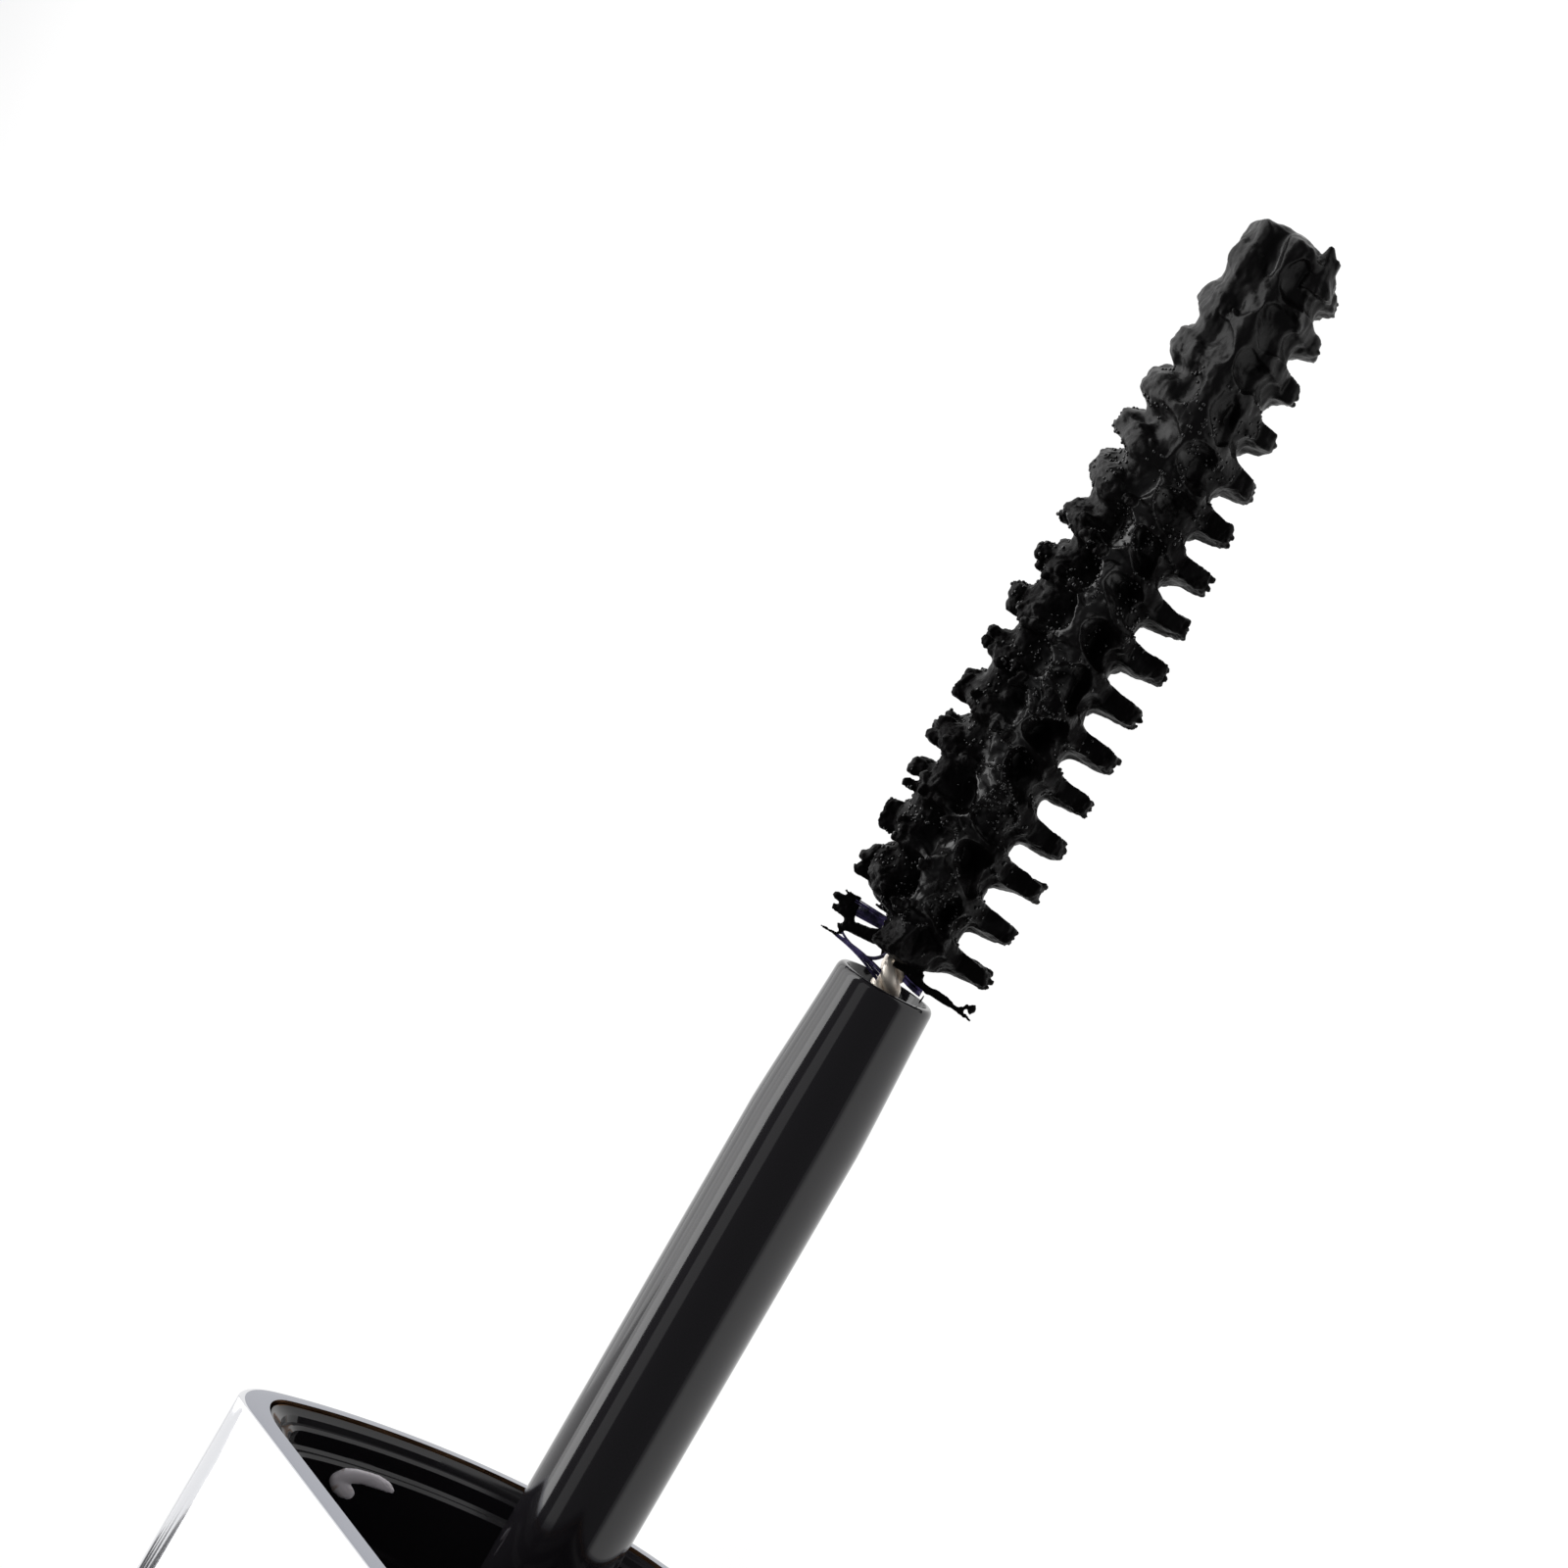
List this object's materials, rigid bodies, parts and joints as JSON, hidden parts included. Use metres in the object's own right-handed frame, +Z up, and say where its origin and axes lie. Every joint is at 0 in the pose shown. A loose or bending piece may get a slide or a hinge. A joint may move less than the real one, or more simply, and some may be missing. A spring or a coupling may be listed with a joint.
{
  "type": "mascara tube",
  "caption": "Mascara with a D-section chrome cap and tube, a black stem and a coated twisted-wire brush that screws and pulls apart.",
  "frame": {"origin": "on the resting surface, under the middle of the open object's bounding box", "axes": "+X along the stem from the cap towards the tube, +Z up out of the wide flat face, +Y across"},
  "size_m": [0.2042, 0.0216, 0.0187],
  "materials": {
    "chrome": "mirror-bright silver plating",
    "weight": "plain, hidden in the cap",
    "black_plastic": "glossy black moulded plastic",
    "wire": "bright twisted wire",
    "coated_bristles": "nylon bristles loaded with wet black mascara",
    "paste": "wet black paste",
    "soft_seal": "soft translucent white sealing plastic"
  },
  "bodies": {
    "tube": {"tube_shell": "chrome", "shoulder_collar": "black_plastic", "tube_base_plate": "chrome", "bottle_seat": "black_plastic", "inner_bottle": "black_plastic", "wiper": "soft_seal", "mascara_fill": "paste"},
    "seal": {"seal_washer": "soft_seal"},
    "applicator": {"cap_shell": "chrome", "cap_end_plate": "chrome", "cap_weight": "weight", "cap_liner": "black_plastic", "thread_insert": "black_plastic", "stem": "black_plastic", "twisted_wire": "wire", "bristles_1": "coated_bristles", "bristles_2": "coated_bristles", "bristles_3": "coated_bristles", "bristles_4": "coated_bristles", "bristles_5": "coated_bristles", "bristles_6": "coated_bristles"}
  },
  "joints": [
    {"name": "insert", "type": "slide", "parent": "tube", "child": "seal", "axis": [1, 0, 0], "range_m": [0, 0.0879]},
    {"name": "screw", "type": "hinge", "parent": "seal", "child": "applicator", "pos_m": [-0.0521, 0, 0.0091], "axis": [1, 0, 0], "range_deg": [0, 360]}
  ]
}
